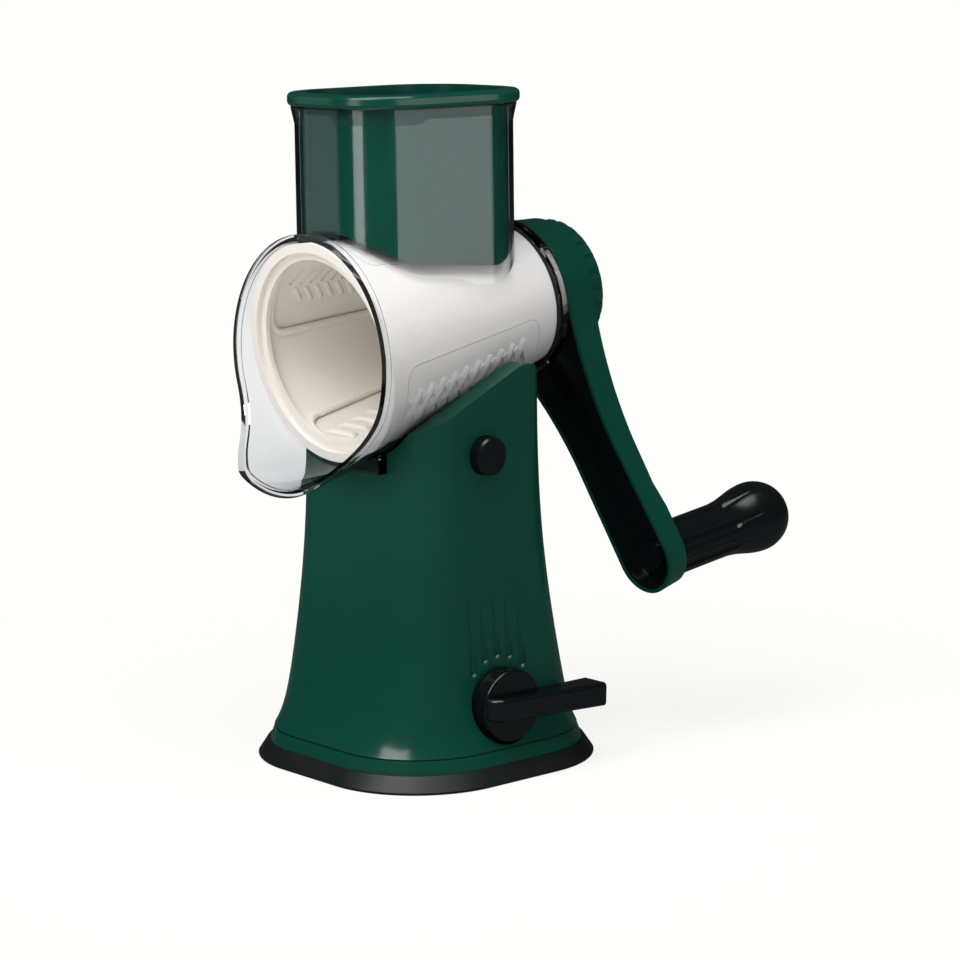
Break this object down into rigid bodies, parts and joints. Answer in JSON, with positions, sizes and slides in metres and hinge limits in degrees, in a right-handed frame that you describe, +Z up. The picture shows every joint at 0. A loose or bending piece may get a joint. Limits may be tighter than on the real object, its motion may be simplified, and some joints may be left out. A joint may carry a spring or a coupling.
{
  "type": "rotary cabbage shredder",
  "caption": "Hand-cranked vegetable shredder with a tilted conical drum in a clear housing, a feed hopper with pusher and a suction foot.",
  "frame": {"origin": "centre of the flat face that rests on the table, under the middle of the base", "axes": "+Z up from the table; -Y towards the open mouth; +Y towards the crank; +X towards the side with the release button and the suction lever"},
  "size_m": [0.1309, 0.2306, 0.275],
  "materials": {
    "green_plastic": "glossy dark green moulding",
    "black_rubber": "satin black rubber",
    "pad_rubber": "smooth dark rubber",
    "black_plastic": "glossy black moulding",
    "grey_plastic": "matte grey inner moulding",
    "clear_plastic": "clear polished moulding with a faint blue-grey edge",
    "white_plastic": "soft gloss off-white moulding",
    "steel": "plain steel"
  },
  "bodies": {
    "stand": {"tower_shell": "green_plastic", "base_ring": "black_rubber", "base_plate": "black_plastic", "base_screws": "steel", "suction_pad": "pad_rubber", "clear_housing": "clear_plastic", "rear_bush": "white_plastic", "button_spring": "steel"},
    "lever": {"lever_knob": "black_plastic", "lever_shaft": "steel", "shaft_cap": "grey_plastic", "suction_cam": "grey_plastic"},
    "stem": {"suction_stem": "grey_plastic"},
    "button": {"release_button": "black_plastic", "latch_frame": "black_plastic"},
    "pusher": {"pusher": "green_plastic"},
    "crank": {"drum_frame": "white_plastic", "slicing_insert": "white_plastic", "grating_insert": "white_plastic", "drum_neck": "white_plastic", "hub_bolt": "steel", "crank_arm": "green_plastic", "crank_liner": "black_plastic", "hub_nut": "green_plastic", "handle_pin": "black_plastic", "handle_washer": "black_plastic", "pin_lock": "steel"},
    "grip": {"handle_grip": "black_plastic", "handle_cap": "black_plastic"}
  },
  "joints": [
    {"name": "crank_turn", "type": "hinge", "parent": "stand", "child": "crank", "pos_m": [0, 0, 0.1797], "axis": [0, 0.9903, 0.1392], "continuous": true},
    {"name": "grip_spin", "type": "hinge", "parent": "crank", "child": "grip", "pos_m": [0.05299, 0.07543, 0.07911], "axis": [0, 0.9903, 0.1392], "continuous": true},
    {"name": "pusher_slide", "type": "slide", "parent": "stand", "child": "pusher", "axis": [0, 0, 1], "range_m": [0, 0.12]},
    {"name": "lever_turn", "type": "hinge", "parent": "stand", "child": "lever", "pos_m": [0, -0.0016, 0.03], "axis": [1, 0, 0], "range_deg": [0, 180]},
    {"name": "stem_lift", "type": "slide", "parent": "stand", "child": "stem", "axis": [0, 0, 1], "range_m": [0, 0.0045], "deforming": ["suction_pad"]},
    {"name": "button_push", "type": "slide", "parent": "stand", "child": "button", "axis": [-1, 0, 0], "range_m": [0, 0.004], "stiffness_N_per_m": 400, "springref_m": -0.002, "deforming": ["button_spring"]}
  ],
  "couplings": [
    {"joint": "stem_lift", "follows": "lever_turn", "m_per_rad": 0.0014006}
  ]
}
